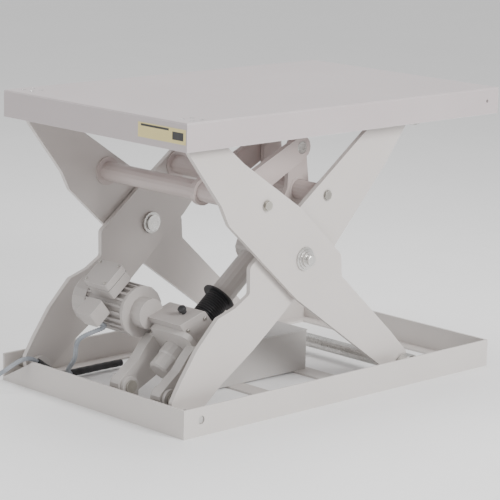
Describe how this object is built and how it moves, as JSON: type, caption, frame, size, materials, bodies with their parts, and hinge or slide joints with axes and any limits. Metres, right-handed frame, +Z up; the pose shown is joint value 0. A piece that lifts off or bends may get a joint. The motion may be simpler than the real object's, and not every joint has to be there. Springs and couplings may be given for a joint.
{
  "type": "scissor lift table",
  "caption": "Electric scissor lift table with rimmed platform, crossed arms, rollers, screw actuator, gearmotor and low steel base frame",
  "frame": {"origin": "centre of the base frame on the floor", "axes": "X along the table's long side, Y across it, Z up"},
  "size_m": [1.3472, 0.852, 0.717],
  "materials": {
    "frame_paint": "satin light grey enamel",
    "steel": "turned bright steel",
    "motor_grey": "semi-matt grey enamel on castings",
    "rubber_black": "matt black convoluted bellows",
    "cable_black": "satin black sheath",
    "cable_grey": "grey corrugated conduit and sheath",
    "fan_plastic": "black moulded plastic"
  },
  "bodies": {
    "base": {"actuator_foot": "frame_paint", "base_end_left": "frame_paint", "base_end_right": "frame_paint", "base_side_near": "frame_paint", "base_side_far": "frame_paint", "base_strap_left": "frame_paint", "base_strap_right": "frame_paint", "base_pivot_pin_near": "steel", "base_pivot_pin_far": "steel", "foot_pin_near": "steel", "foot_pin_far": "steel", "control_box_tray": "frame_paint", "control_box_lid": "frame_paint", "cable_bundle": "cable_black", "motor_conduit": "cable_grey", "supply_cord": "cable_grey", "supply_coil": "cable_grey", "supply_plug": "cable_black"},
    "inner_arms": {"inner_arm_near": "frame_paint", "inner_arm_far": "frame_paint", "inner_cross_tube": "frame_paint", "inner_tube_bolt_near": "steel", "inner_tube_bolt_far": "steel", "upper_roller_axle_near": "steel", "upper_roller_axle_far": "steel", "centre_pin_near": "steel", "centre_pin_far": "steel"},
    "outer_arms": {"outer_arm_near": "frame_paint", "outer_arm_far": "frame_paint", "outer_cross_tube": "frame_paint", "outer_tube_bolt_near": "steel", "outer_tube_bolt_far": "steel", "lower_roller_shaft": "steel"},
    "table": {"table_top": "frame_paint", "table_pivot_pin_near": "steel", "table_pivot_pin_far": "steel"},
    "low_wheel_near": {"lower_roller_near": "steel"},
    "low_wheel_far": {"lower_roller_far": "steel"},
    "up_wheel_near": {"upper_roller_near": "steel"},
    "up_wheel_far": {"upper_roller_far": "steel"},
    "crank": {"lift_crank": "frame_paint"},
    "link": {"link_plate_near": "frame_paint", "link_plate_far": "frame_paint", "knee_pin_near": "steel", "knee_pin_far": "steel"},
    "actuator": {"actuator_yoke": "frame_paint", "screw_end_cap": "frame_paint", "gearbox_housing": "motor_grey", "motor_body": "motor_grey", "fan_cowl": "motor_grey", "terminal_box": "motor_grey", "terminal_lid": "motor_grey", "aux_terminal_box": "motor_grey", "bellows": "rubber_black"},
    "rotor": {"motor_rotor": "steel", "cooling_fan": "fan_plastic"},
    "screw": {"ball_screw": "steel"},
    "nut": {"ball_nut": "steel", "nut_tube": "frame_paint", "nut_trunnion": "frame_paint"}
  },
  "joints": [
    {"name": "arms_lift", "type": "hinge", "parent": "base", "child": "inner_arms", "pos_m": [-0.47, 0, 0.038], "axis": [0, -1, 0], "range_deg": [-28.6, 3.4]},
    {"name": "scissor_centre", "type": "hinge", "parent": "inner_arms", "child": "outer_arms", "pos_m": [-0.112, 0, 0.356], "axis": [0, -1, 0], "range_deg": [-7.2, 57.6]},
    {"name": "table_pivot", "type": "hinge", "parent": "outer_arms", "child": "table", "pos_m": [-0.47, 0, 0.674], "axis": [0, -1, 0], "range_deg": [-29, 3.8]},
    {"name": "low_wheel_near_spin", "type": "hinge", "parent": "outer_arms", "child": "low_wheel_near", "pos_m": [0.246, -0.3, 0.038], "axis": [0, -1, 0], "continuous": true},
    {"name": "low_wheel_far_spin", "type": "hinge", "parent": "outer_arms", "child": "low_wheel_far", "pos_m": [0.246, 0.3, 0.038], "axis": [0, -1, 0], "continuous": true},
    {"name": "up_wheel_near_spin", "type": "hinge", "parent": "inner_arms", "child": "up_wheel_near", "pos_m": [0.246, -0.3, 0.674], "axis": [0, -1, 0], "continuous": true},
    {"name": "up_wheel_far_spin", "type": "hinge", "parent": "inner_arms", "child": "up_wheel_far", "pos_m": [0.246, 0.3, 0.674], "axis": [0, -1, 0], "continuous": true},
    {"name": "crank_pivot", "type": "hinge", "parent": "inner_arms", "child": "crank", "pos_m": [-0.02442, 0, 0.49532], "axis": [0, -1, 0], "range_deg": [-12.56, 98.24]},
    {"name": "link_pivot", "type": "hinge", "parent": "outer_arms", "child": "link", "pos_m": [-0.24152, 0, 0.4978], "axis": [0, -1, 0], "range_deg": [-42.18, 5.9]},
    {"name": "actuator_tilt", "type": "hinge", "parent": "base", "child": "actuator", "pos_m": [-0.464, 0, 0.061], "axis": [0, -1, 0], "range_deg": [-38.75, 5.49], "deforming": ["motor_conduit"]},
    {"name": "nut_slide", "type": "slide", "parent": "actuator", "child": "nut", "axis": [0.7768, 0, 0.6297], "range_m": [-0.0298, 0.2361], "deforming": ["bellows"]},
    {"name": "motor_spin", "type": "hinge", "parent": "actuator", "child": "rotor", "pos_m": [-0.39726, 0, 0.22323], "axis": [0, -1, 0], "continuous": true},
    {"name": "screw_spin", "type": "hinge", "parent": "actuator", "child": "screw", "pos_m": [-0.464, -0.127, 0.061], "axis": [0.7768, 0, 0.6297], "continuous": true}
  ],
  "couplings": [
    {"joint": "scissor_centre", "follows": "arms_lift", "ratio": -2},
    {"joint": "table_pivot", "follows": "arms_lift", "ratio": 1},
    {"joint": "crank_pivot", "follows": "arms_lift", "ratio": -3.4},
    {"joint": "link_pivot", "follows": "arms_lift", "ratio": 1.44},
    {"joint": "actuator_tilt", "follows": "arms_lift", "ratio": 1.32},
    {"joint": "nut_slide", "follows": "arms_lift", "m_per_rad": -0.469}
  ]
}
